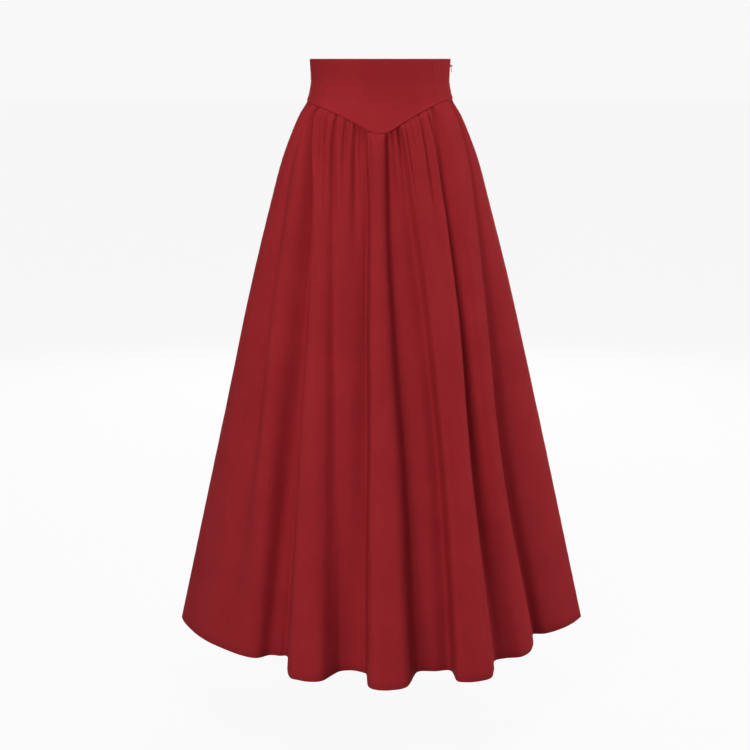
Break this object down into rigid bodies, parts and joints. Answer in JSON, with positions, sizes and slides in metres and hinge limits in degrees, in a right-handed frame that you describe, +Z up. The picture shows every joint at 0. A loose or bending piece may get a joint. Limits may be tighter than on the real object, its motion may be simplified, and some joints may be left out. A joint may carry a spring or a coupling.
{
  "type": "maxi skirt",
  "caption": "Floor-length full skirt gathered onto a high fitted waistband that dips to a point in front, with a concealed side zip.",
  "frame": {"origin": "centre of the waist at its narrowest ring, where the wearer holds the skirt up", "axes": "+Z up, from the hem to the waist; the front faces -Y; +X is the wearer's left side, where the zip is"},
  "size_m": [0.7662, 0.6372, 1.0406],
  "materials": {
    "crimson_cloth": "plain-woven deep red cloth with a soft low sheen",
    "zip_tape_red": "flat woven zip tape in matching red",
    "zip_metal": "zip slider and pull, coated to match the cloth"
  },
  "bodies": {
    "skirt": {"waist_front": "crimson_cloth", "waist_side_right": "crimson_cloth", "waist_side_left": "crimson_cloth", "waist_back": "crimson_cloth", "skirt_front": "crimson_cloth", "skirt_back": "crimson_cloth", "zip_tape_front": "zip_tape_red", "zip_tape_back": "zip_tape_red", "zip_slider": "zip_metal"},
    "pull": {"zip_pull": "zip_metal"}
  },
  "joints": [
    {"name": "pull_swing", "type": "hinge", "parent": "skirt", "child": "pull", "pos_m": [0.12478, 0, 0.0245], "axis": [0, -1, 0], "range_deg": [-6, 180]}
  ]
}
